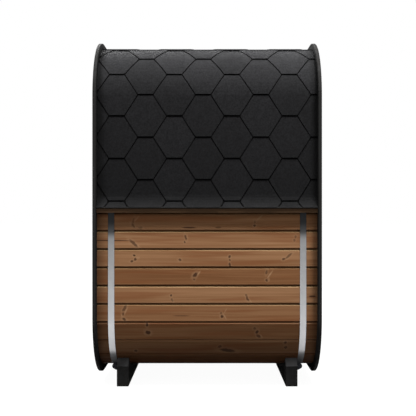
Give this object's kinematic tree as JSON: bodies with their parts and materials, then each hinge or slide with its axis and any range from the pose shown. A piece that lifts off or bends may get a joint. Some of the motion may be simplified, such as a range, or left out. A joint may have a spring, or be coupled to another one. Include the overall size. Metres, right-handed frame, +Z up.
{
  "type": "cube sauna",
  "caption": "Small outdoor sauna cabin: a rounded square shell of interlocking level staves under hexagonal shingles, with black end rims, steel hoops, a glass door and two cradles.",
  "frame": {"origin": "centre of the overall box at ground level, under the middle of the cabin", "axes": "+X along the barrel towards the door end, +Y from the front side to the rear side, +Z up"},
  "size_m": [1.35, 2.062, 2.1143],
  "materials": {
    "stave_timber": "heat-treated spruce, planed, oiled brown",
    "wall_timber": "heat-treated spruce boards, planed",
    "door_timber": "heat-treated spruce, planed",
    "eave_timber": "dark stained timber",
    "cradle_timber": "black stained timber",
    "rim_black": "black painted, satin",
    "roof_shingle": "bitumen shingles with black mineral granules",
    "hoop_steel": "bright strip steel",
    "tightener_steel": "dark zinc plated steel",
    "hinge_steel": "satin stainless steel",
    "door_glass": "clear toughened glass, bronze tint"
  },
  "bodies": {
    "root": {"cradle_left": "cradle_timber", "cradle_right": "cradle_timber", "staves_floor": "stave_timber", "staves_front": "stave_timber", "staves_rear": "stave_timber", "staves_roof": "stave_timber", "staves_corner_front_low": "stave_timber", "staves_corner_front_high": "stave_timber", "staves_corner_rear_low": "stave_timber", "staves_corner_rear_high": "stave_timber", "rim_left_front": "rim_black", "rim_left_rear": "rim_black", "rim_left_top": "rim_black", "rim_left_bottom": "rim_black", "rim_left_corners_high": "rim_black", "rim_left_corners_low": "rim_black", "rim_right_front": "rim_black", "rim_right_rear": "rim_black", "rim_right_top": "rim_black", "rim_right_bottom": "rim_black", "rim_right_corners_high": "rim_black", "rim_right_corners_low": "rim_black", "hoop_left_over": "hoop_steel", "hoop_left_under": "hoop_steel", "hoop_right_over": "hoop_steel", "hoop_right_under": "hoop_steel", "tighteners_left": "tightener_steel", "tighteners_right": "tightener_steel", "roofing_front": "roof_shingle", "roofing_crown": "roof_shingle", "roofing_rear": "roof_shingle", "eave_board_front": "eave_timber", "eave_board_rear": "eave_timber", "end_wall_left": "wall_timber", "end_wall_right_front": "wall_timber", "end_wall_right_rear": "wall_timber", "end_wall_right_over": "wall_timber", "end_wall_right_under": "wall_timber", "door_frame": "door_timber", "door_glass": "door_glass", "door_handle": "door_timber", "door_hinges": "hinge_steel"}
  },
  "joints": []
}
